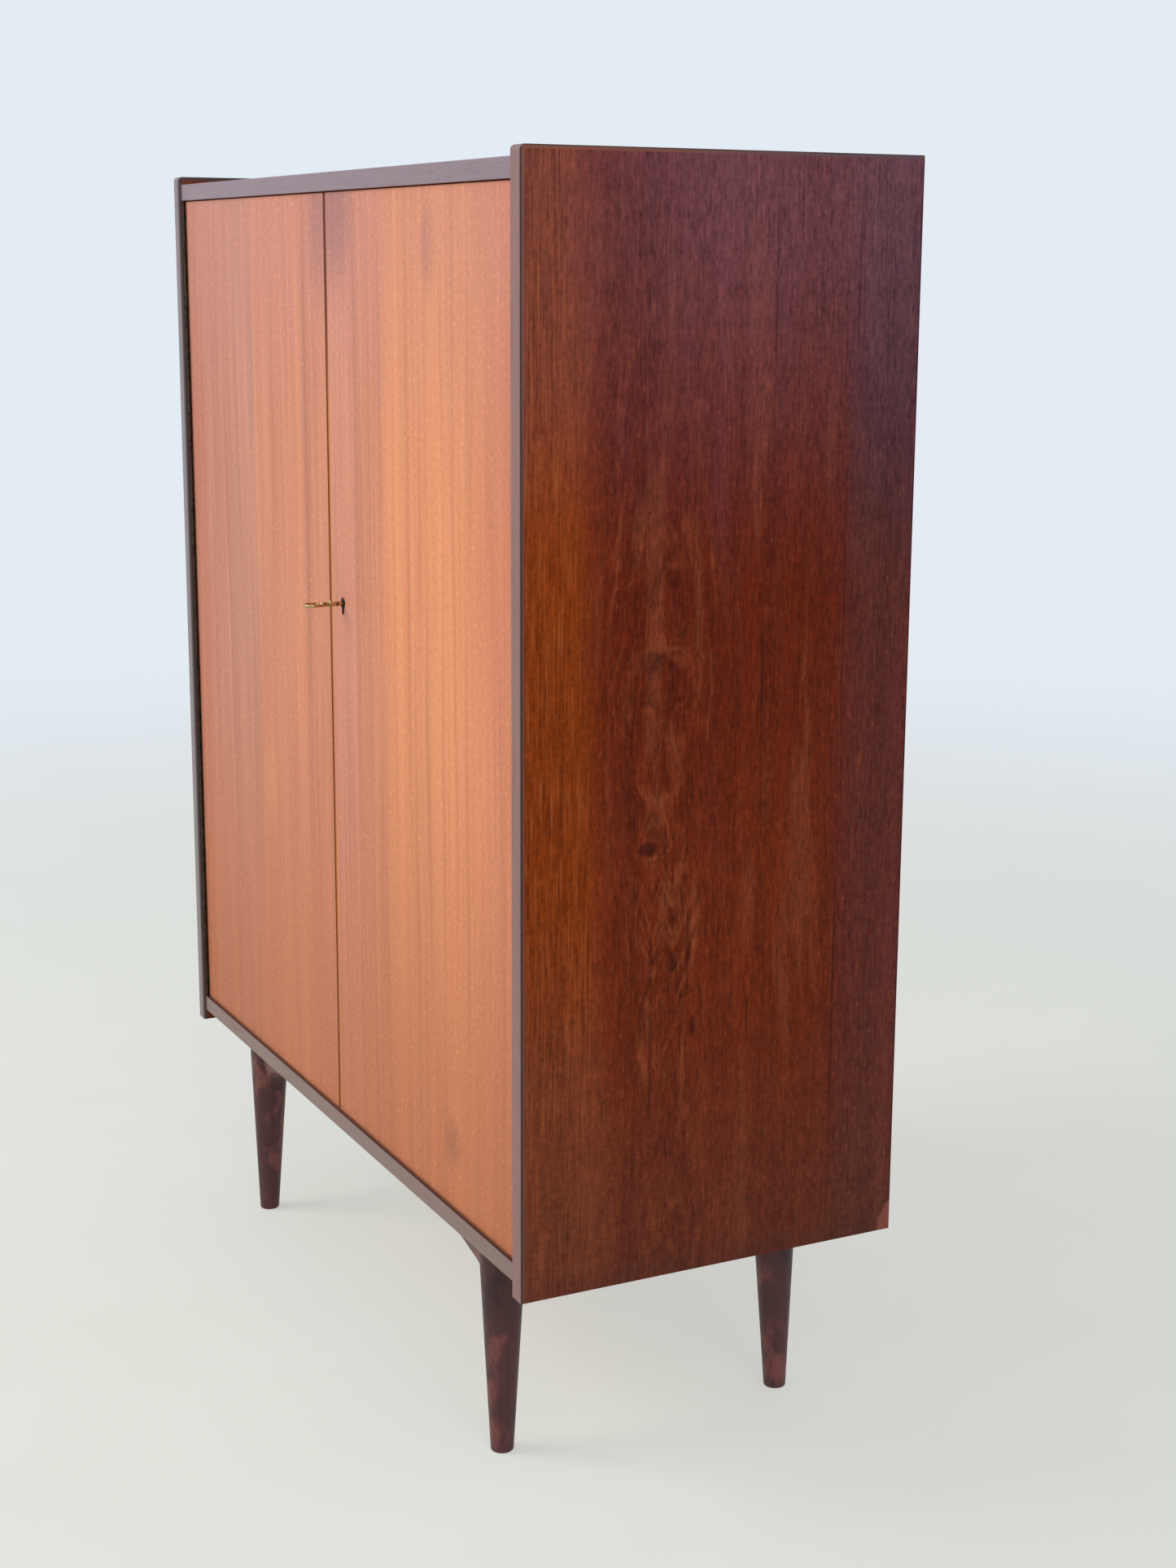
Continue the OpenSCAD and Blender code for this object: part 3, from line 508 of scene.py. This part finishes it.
def golden_lipping():
    """Fine streaks up the lipping between two golden browns."""
    f = Finish("golden_lipping")
    x, y, z = f.place()
    streak = f.noise(x * 700, y * 700, z * 6, detail=3.0)
    colour = f.mix(shade(150, 86, 22), shade(196, 122, 40), streak)
    return f.skin(colour, 0.4, streak, 0.0001)


clothe(golden_lipping(), "partition_lipping")


def plywood():
    """Rotary-cut birch: wide wavy rings, which are slow noise multiplied up, under fine grain."""
    f = Finish("plywood_back")
    x, y, z = f.place()
    ring = f.noise(x * 4, z * 1.1, 3.0, detail=2.0) * 16
    line = f.noise(ring * 6, x * 2, z * 1.5, detail=3.0)
    fine = f.noise(x * 420, z * 6, 2.0)
    colour = f.mix(shade(178, 132, 92), shade(208, 166, 122), line * 0.8 + fine * 0.3 - 0.05)
    return f.skin(colour, 0.6 + fine * 0.1, fine, 0.0001, Specular_IOR_Level=0.3)


clothe(plywood(), "back_panel")


def dowel_wood():
    """Pale beech with its grain along the dowel."""
    f = Finish("dowel_beech")
    x, y, z = f.place()
    grain = f.noise(x * 60, y * 900, z * 900, detail=2.0)
    return f.skin(f.mix(shade(190, 148, 104), shade(216, 178, 132), grain), 0.6, grain, 0.0001)


clothe(dowel_wood(), "carcass_dowels", "leg_dowels")

# --------------------------------------------------------------------------------------------------
# The legs and rails, of solid hardwood stained nearly black-brown. The legs are turned, taper to
# the floor and lean outwards. The rails are sawn and shaped, sweep down into the legs, and are cut
# to their cones and dowelled.

foot_radius, leg_top_radius = 0.0122, 0.0258
foot_ease = 0.002  # the rounding of the foot's edge
splay = (0.0055, 0.0035)  # how far a foot stands out past the top of its leg, along x and y
low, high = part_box("leg_front_right")
leg_height, leg_top = high.z, (low + high) / 2


def leg_wood(name, along, joint_y=None):
    """Streaks run along the piece, under clouds and scuffs. A rail is a little lighter than the
    legs, painted light that stands in for the light the floor throws under the bottom panel;
    joint_y is its middle, where it meets the legs' cones, and a glue line lies where the distance
    from a leg's leaning axis equals the leg's radius. The hollow of the sweep gets painted shade."""
    f = Finish(name)
    x, y, z = place = f.place()
    over = [place[i] for i in range(3) if i != along]
    streak = f.noise(over[0] * 260, over[1] * 260, place[along] * 6, detail=3.0)
    cloud = f.noise(x * 22, y * 22, z * 13, detail=3.0)
    scuff = f.noise(x * 70, y * 70, z * 40, detail=4.0, rough=0.65)
    colour = f.mix(shade(45, 19, 21), shade(91, 48, 48), streak * 0.8 + cloud * 0.5 - 0.15)
    worn = cloud.rise(0.53, 0.63) * scuff.rise(0.32, 0.60)
    colour = f.mix(colour, shade(138, 76, 70), worn * 0.58)
    colour = f.mix(colour, shade(32, 17, 18), cloud.rise(0.44, 0.36) * 0.6)
    worn_foot = scuff.rise(0.50, 0.64) * z.rise(0.040, 0.006)
    colour = f.mix(colour, shade(112, 52, 56), worn_foot * 0.7)
    colour = f.mix(colour, shade(26, 14, 14), scuff.rise(0.40, 0.30) * 0.5)
    if joint_y is not None:
        # Painted light: the rail is lighter than the legs, as if lit from the floor under the
        # overhanging bottom panel
        colour = f.mix(colour, shade(128, 84, 74), streak * 0.3 + 0.3)
        fall = (leg_height - z) / leg_height
        from_x = x.size() - leg_top.x - fall * splay[0]
        from_y = y - joint_y - fall * math.copysign(splay[1], joint_y)
        leg_radius = leg_top_radius - fall * (leg_top_radius - foot_radius)
        gap = (from_x ** 2 + from_y ** 2) ** 0.5 - leg_radius
        upper = z.rise(leg_height - 0.060, leg_height - 0.045)
        colour = f.mix(colour, shade(20, 11, 11), gap.rise(0.0010, 0.0004) * upper * 0.8)
        # Painted shade: below the rail's top, faces that turn from the front and back, as in the
        # hollow of the sweep, are darker
        normal = f.node("ShaderNodeNewGeometry", output="Normal")
        facing = f.node("ShaderNodeSeparateXYZ", inputs={0: normal}, output=1)
        under = facing.size().rise(0.75, 0.35)
        colour = f.mix(colour, shade(58, 28, 30), under * (1 - upper) * 0.85)
    return f.skin(colour, 0.34 + cloud * 0.14 + scuff * 0.1, streak * 0.6 + scuff * 0.4, 0.00015,
                  Specular_IOR_Level=0.35)


def make(name, vertices, faces, material, body, slot):
    """A new piece, smooth except at its edges, which rides on a body."""
    mesh = bpy.data.meshes.new(name)
    mesh.from_pydata(vertices, [], faces)
    mesh.shade_smooth()
    mesh.set_sharp_from_angle(angle=math.radians(40))
    mesh.materials.append(material)
    piece = bpy.data.objects.new(name, mesh)
    bpy.context.scene.collection.objects.link(piece)
    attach(piece, body)
    return piece


def lofted(rings):
    """The vertices and faces of a closed form: each ring of points is joined to the next, and the
    first and last are closed by a fan of triangles to their middles."""
    rows, columns, _ = rings.shape
    index = np.arange(rows * columns).reshape(rows, columns)
    after = np.roll(index, -1, axis=1)
    faces = np.stack([index[:-1], after[:-1], after[1:], index[1:]], -1).reshape(-1, 4).tolist()
    first, last = np.full(columns, rows * columns), np.full(columns, rows * columns + 1)
    faces += np.stack([after[0], index[0], first], -1).tolist()
    faces += np.stack([index[-1], after[-1], last], -1).tolist()
    vertices = np.vstack([rings.reshape(-1, 3), rings[0].mean(0), rings[-1].mean(0)])
    return vertices.tolist(), faces


legs_finish = leg_wood("leg_wood", 2)


def turned_leg(node):
    """A straight cone about a leaning axis: each ring's middle moves in from the foot to the top,
    and its radius grows with its height. The edge of the foot is a quarter round."""
    low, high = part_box(node)
    top = (low + high) / 2
    ease = np.linspace(0, math.pi / 2, 6)
    height = np.concatenate([foot_ease * (1 - np.cos(ease)),
                             np.linspace(foot_ease, leg_height, 26)[1:]])
    radius = foot_radius + (leg_top_radius - foot_radius) * height / leg_height
    radius[:len(ease)] -= foot_ease * (1 - np.sin(ease))
    turn = np.linspace(0, 2 * math.pi, 64, endpoint=False)
    lean = 1 - height / leg_height
    middle_x = top.x + math.copysign(splay[0], top.x) * lean
    middle_y = top.y + math.copysign(splay[1], top.y) * lean
    x = middle_x[:, None] + radius[:, None] * np.cos(turn)
    y = middle_y[:, None] + radius[:, None] * np.sin(turn)
    z = np.broadcast_to(height[:, None], x.shape)
    leg = lofted(np.stack([x, y, z], -1))
    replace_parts(make(node + "_turned", *leg, legs_finish, "carcass", "leg_wood"), node)


for node in ("leg_front_left", "leg_front_right", "leg_rear_left", "leg_rear_right"):
    turned_leg(node)

rail_half = 0.015  # half the thickness of a rail
rail_depth, sweep_depth = 0.0285, 0.075
long_radius, short_radius = 0.25, 0.035  # the two arcs of the sweep
rail_ease = 0.003  # the rounding of the lower edges
leg_lean = 0.0014  # how far out the leg's middle is at the foot of the sweep


def half_thickness(under):
    """Half of a rail's thickness at a height below its top: even to 8 mm below the rail's own
    depth, then narrowing in proportion to two fifths at the foot of the sweep."""
    return np.interp(-under, [0, rail_depth + 0.008, sweep_depth],
                     [rail_half, rail_half, rail_half * 0.4])


def shaped_rail(node):
    """The underside runs level, then down a long arc and a short one to the leg. At each place
    along it the section is a bar with rounded lower edges, which narrows below the rail's own
    depth."""
    low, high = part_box(node)
    middle_y = (low.y + high.y) / 2
    end = leg_top.x
    sweep = math.acos((long_radius - short_radius - (sweep_depth - rail_depth - short_radius))
                      / (long_radius - short_radius))
    leg_radius = leg_top_radius - (leg_top_radius - foot_radius) * sweep_depth / leg_height
    short_x = end + leg_lean - leg_radius - short_radius
    long_x = short_x - (long_radius - short_radius) * math.sin(sweep)
    level = np.linspace(0, long_x, 11, endpoint=False)
    first, second = np.linspace(0, sweep, 22), np.linspace(sweep, math.pi / 2, 26)[1:]
    x = np.concatenate([level, long_x + long_radius * np.sin(first),
                        short_x + short_radius * np.sin(second), [end]])
    under = np.concatenate([
        np.full(len(level), -rail_depth), -rail_depth - long_radius * (1 - np.cos(first)),
        -sweep_depth + short_radius * np.cos(second), [-sweep_depth]])
    x, under = np.concatenate([-x[:0:-1], x]), np.concatenate([under[:0:-1], under])
    down, corner = np.linspace(0, 1, 9), np.linspace(0, math.pi / 2, 6)
    start = (under + rail_ease)[:, None]
    side = np.stack([half_thickness(start * down), start * down], -1)
    bend = np.stack([half_thickness(start) - rail_ease * (1 - np.cos(corner)),
                     start - rail_ease * np.sin(corner)], -1)
    right = np.concatenate([side, bend[:, 1:]], 1)
    left = right[:, ::-1] * (-1, 1)
    ring = np.concatenate([right, left], 1)
    along = np.broadcast_to(x[:, None, None], ring.shape[:2] + (1,))
    points = np.concatenate([along, ring], -1) + (0, middle_y, leg_height)
    finish = leg_wood(node + "_wood", 0, middle_y)
    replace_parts(make(node + "_shaped", *lofted(points), finish, "carcass", "leg_wood"), node)


shaped_rail("front_rail")
shaped_rail("rear_rail")

# --------------------------------------------------------------------------------------------------
# The metalwork. Piano hinges of dark tarnished brass, a cast brass lock with its key and steel
# bolt, a steel garment rail, and slotted screws turned home by hand. A magnet in a plastic case
# catches the left door.


def metal(name, light, dark, roughness, tarnish):
    """Bright metal under clouds and small specks of tarnish, as strong as tarnish says."""
    f = Finish(name)
    x, y, z = f.place()
    cloud = f.noise(x * 160, y * 160, z * 160, detail=3.0)
    speck = f.noise(x * 900, y * 900, z * 900, detail=1.0).rise(0.62, 0.70)
    colour = f.mix(light, dark, cloud.rise(0.42, 0.7) * tarnish)
    colour = f.mix(colour, dark, speck * tarnish)
    return f.skin(colour, cloud * 0.2 + roughness - 0.1, cloud, 0.00008, Metallic=1.0)


clothe(metal("hinge_brass", shade(82, 64, 52), shade(38, 30, 28), 0.50, 0.8),
       "left_hinge_frame_leaf", "right_hinge_frame_leaf",
       "left_hinge_door_leaf", "right_hinge_door_leaf")
clothe(metal("lock_brass", shade(206, 170, 104), shade(140, 104, 60), 0.32, 0.5),
       "lock_case", "lock_screws", "strike_plate", "shelf_pins")
clothe(metal("key_brass", shade(196, 170, 122), shade(60, 44, 30), 0.26, 0.90), "key")
clothe(metal("bright_steel", shade(190, 190, 194), shade(120, 120, 124), 0.34, 0.4),
       "back_panel_screws", "rail_screws", "left_hinge_pin", "right_hinge_pin", "lock_bolt",
       "catch_plate", "garment_rail", "garment_rail_brackets")
clothe(metal("blackened_steel", shade(60, 56, 54), shade(28, 26, 26), 0.5, 0.6),
       "keyhole_insert")


def catch_plastic():
    """Cream plastic with faint clouds of yellowing."""
    f = Finish("catch_plastic")
    x, y, z = f.place()
    cloud = f.noise(x * 200, y * 200, z * 200, detail=3.0)
    return f.skin(f.mix(shade(206, 196, 172), shade(222, 214, 194), cloud), 0.45, cloud, 0.00005)


clothe(catch_plastic(), "magnetic_catch")

slot_share = 0.16  # half the slot's width, as a share of the head's radius
sunk, proud = 0.0001, 0.00012  # how far a head goes into its face and stands out of it


def screw_heads(name, centres, out, radius, material, body, slot):
    """Slotted heads, each two halves of a low disc with the slot between them. A half's outline
    is an arc closed by its chord, and it narrows a little towards its upper face. Every slot
    stands at its own angle."""
    turn = np.linspace(math.asin(slot_share), math.pi - math.asin(slot_share), 9)
    arc = np.stack([np.cos(turn), np.sin(turn)], -1) * radius
    count, middle = len(arc), arc.mean(0)
    upper_arc = middle + (arc - middle) * 0.93
    out = np.array(out, float)
    level = np.cross(out, (0, 0, 1)) if abs(out[2]) < 0.5 else np.array((1.0, 0, 0))
    angles = np.random.default_rng(len(name)).uniform(0, math.pi, len(centres))
    vertices, faces = [], []
    for centre, angle in zip(centres, angles):
        way = level * math.cos(angle) + np.cross(out, level) * math.sin(angle)
        side = np.cross(out, way)
        for half in (1, -1):
            first = len(vertices)
            for ring, height in ((arc, -sunk), (upper_arc, proud)):
                vertices += [tuple(centre + way * u + side * v + out * height)
                             for u, v in ring * half]
            for i in range(count):
                after = (i + 1) % count
                faces.append((first + i, first + after, first + count + after, first + count + i))
            faces.append(tuple(range(first + count, first + 2 * count)))
    return make(name, vertices, faces, material, body, slot)


# The hinges have a screw every 60 mm down each leaf, whose own face lies behind its knuckles
screw_brass = metal("screw_brass", shade(190, 156, 96), shade(96, 70, 44), 0.36, 0.7)
leaf_thickness, hinge_head = 0.0007, 0.0027
screw_pitch, last_screw = 0.06, 0.02  # between screws, and the least from a leaf's upper end
screw_line = 0.0075  # from a leaf's rear edge to its screws
for hand, sign in (("left", -1), ("right", 1)):
    wall = max(abs(corner.x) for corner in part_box(hand + "_hinge_frame_leaf"))
    door_edge = max(abs(corner.x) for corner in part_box(hand + "_door"))
    for leaf, body, face, facing in (
            ("frame", "carcass", wall - leaf_thickness, -sign),
            ("door", hand + "_door", door_edge + leaf_thickness, sign)):
        low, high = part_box(f"{hand}_hinge_{leaf}_leaf")
        heights = np.arange(low.z + screw_pitch / 2, high.z - last_screw, screw_pitch)
        centres = [np.array((sign * face, high.y - screw_line, at)) for at in heights]
        screw_heads(f"{hand}_hinge_{leaf}_screws", centres, (facing, 0, 0), hinge_head,
                    screw_brass, body, "hinge_brass")

# Slots in the heads of the lock's four screws, of the back's and of the rails'
low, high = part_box("lock_screws")
head = 0.003
centres = [np.array((x, high.y, z)) for x in (low.x + head, high.x - head)
           for z in (low.z + head, high.z - head)]
screw_heads("lock_screw_slots", centres, (0, 1, 0), head, screw_brass, "right_door", "lock_brass")

screw_steel = metal("screw_steel", shade(172, 172, 176), shade(104, 100, 98), 0.38, 0.6)
low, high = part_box("back_panel_screws")
head = 0.0032
row_end = head + 0.0445  # from the lowest screw's rim to the first screw of an upright row
row_length = high.z - low.z - 2 * row_end
column = [low.z + row_end + row * row_length / 5 for row in range(6)]
spots = [(x, z) for x in (low.x + head, 0, high.x - head) for z in column]
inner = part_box("right_side_panel")[0].x
spots += [(inner * share, z) for share in (-0.68, -0.34, 0.34, 0.68)
          for z in (low.z + head, high.z - head)]
centres = [np.array((x, high.y, z)) for x, z in spots]
screw_heads("back_screw_slots", centres, (0, 1, 0), head, screw_steel, "carcass", "steel")

low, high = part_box("rail_screws")
head = 0.005
centres = [np.array((x, y, low.z)) for x in (low.x + head, 0, high.x - head)
           for y in (low.y + head, high.y - head)]
screw_heads("rail_screw_slots", centres, (0, 0, -1), head, screw_steel, "carcass", "steel")

# --------------------------------------------------------------------------------------------------
# The studio. A plain pale floor that fades into the background, a soft key light from the front
# left, a weaker one from the right, an even sky, and the camera.

background_colour = (0.77, 0.83, 0.90, 1.0)


def floor_finish():
    """A pale floor, lit in part by its own light so that shadows stay soft. It fades into the
    background with the distance from the middle, so that there is no horizon."""
    f = Finish("studio_floor")
    x, y, z = f.place()
    cloud = f.noise(x * 3, y * 3, z, detail=3.0)
    colour = f.mix(shade(235, 237, 230), shade(241, 243, 237), cloud)
    lit = f.node("ShaderNodeBsdfPrincipled", inputs={
        "Base Color": colour, "Roughness": 0.8, "Specular IOR Level": 0.1})
    own = f.node("ShaderNodeEmission", inputs={"Color": colour, "Strength": 0.92})
    near = f.node("ShaderNodeMixShader", inputs={0: 0.58, 1: lit, 2: own})
    far = f.node("ShaderNodeEmission", inputs={"Color": background_colour, "Strength": 1.0})
    distance = (x * x + y * y) ** 0.5
    faded = f.node("ShaderNodeMixShader", inputs={0: distance.rise(1.4, 5.0), 1: near, 2: far})
    f.node("ShaderNodeOutputMaterial", inputs={"Surface": faded}, output=())
    return f.owner


floor_mesh = bpy.data.meshes.new("floor")
reach = 30.0
floor_mesh.from_pydata([(-reach, -reach, 0), (reach, -reach, 0), (reach, reach, 0),
                        (-reach, reach, 0)], [], [(0, 1, 2, 3)])
floor = bpy.data.objects.new("floor", floor_mesh)
floor_mesh.materials.append(floor_finish())
bpy.context.scene.collection.objects.link(floor)

# The sky lights the object at a lower level than the one at which it is seen
sky = Finish("studio", "worlds")
bpy.context.scene.world = sky.owner
by_camera, by_gloss, by_glass = sky.node("ShaderNodeLightPath", output=(
    "Is Camera Ray", "Is Glossy Ray", "Is Transmission Ray"))
strength = sky.node("ShaderNodeMapRange", inputs={
    "Value": by_camera.most(by_gloss).most(by_glass), "To Min": 0.62, "To Max": 1.0})
glow = sky.node("ShaderNodeBackground", inputs={"Color": background_colour, "Strength": strength})
sky.node("ShaderNodeOutputWorld", inputs={"Surface": glow}, output=())


def set_up(name, data, side, up, back, place):
    """Stands a lamp or camera at a place, with its own x, y and z along side, up and back."""
    obj = bpy.data.objects.new(name, data)
    axes = [(side[i], up[i], back[i], place[i]) for i in range(3)]
    obj.matrix_world = Matrix(axes + [(0, 0, 0, 1)])
    bpy.context.scene.collection.objects.link(obj)
    return obj


def soft_light(name, place, aim, size, power, tint):
    """A square lamp that faces a point."""
    lamp = bpy.data.lights.new(name, "AREA")
    lamp.shape, lamp.size, lamp.energy, lamp.color = "SQUARE", size, power, tint
    back = np.array(place, float) - np.array(aim, float)
    back /= np.linalg.norm(back)
    side = np.cross((0, 0, 1), back)
    side /= np.linalg.norm(side)
    set_up(name, lamp, side, np.cross(back, side), back, place)


soft_light("key_light", (-1.6, -3.6, 3.2), (0, 0, 0.7), 2.4, 110, (1.0, 0.97, 0.93))
soft_light("side_light", (3.8, -0.6, 2.6), (0.3, 0, 0.7), 2.4, 40, (1.0, 0.98, 0.96))

# The camera stands off the right front corner at standing height and looks slightly down
yaw, pitch, roll = math.radians(63.14), math.radians(12.365), math.radians(0.291)
ahead = np.array([-math.sin(yaw) * math.cos(pitch), math.cos(yaw) * math.cos(pitch),
                  -math.sin(pitch)])
level_right = np.array([math.cos(yaw), math.sin(yaw), 0.0])
level_up = np.cross(level_right, ahead)
right = math.cos(roll) * level_right + math.sin(roll) * level_up
above = math.cos(roll) * level_up - math.sin(roll) * level_right
lens = bpy.data.cameras.new("camera")
lens.lens, lens.sensor_width, lens.sensor_fit = 54.47, 36.0, "AUTO"
lens.clip_start, lens.clip_end = 0.05, 100.0
camera = set_up("camera", lens, right, above, -ahead, (2.4677, -1.1163, 1.2284))
bpy.context.scene.camera = camera
bpy.context.scene.view_settings.view_transform = "Standard"
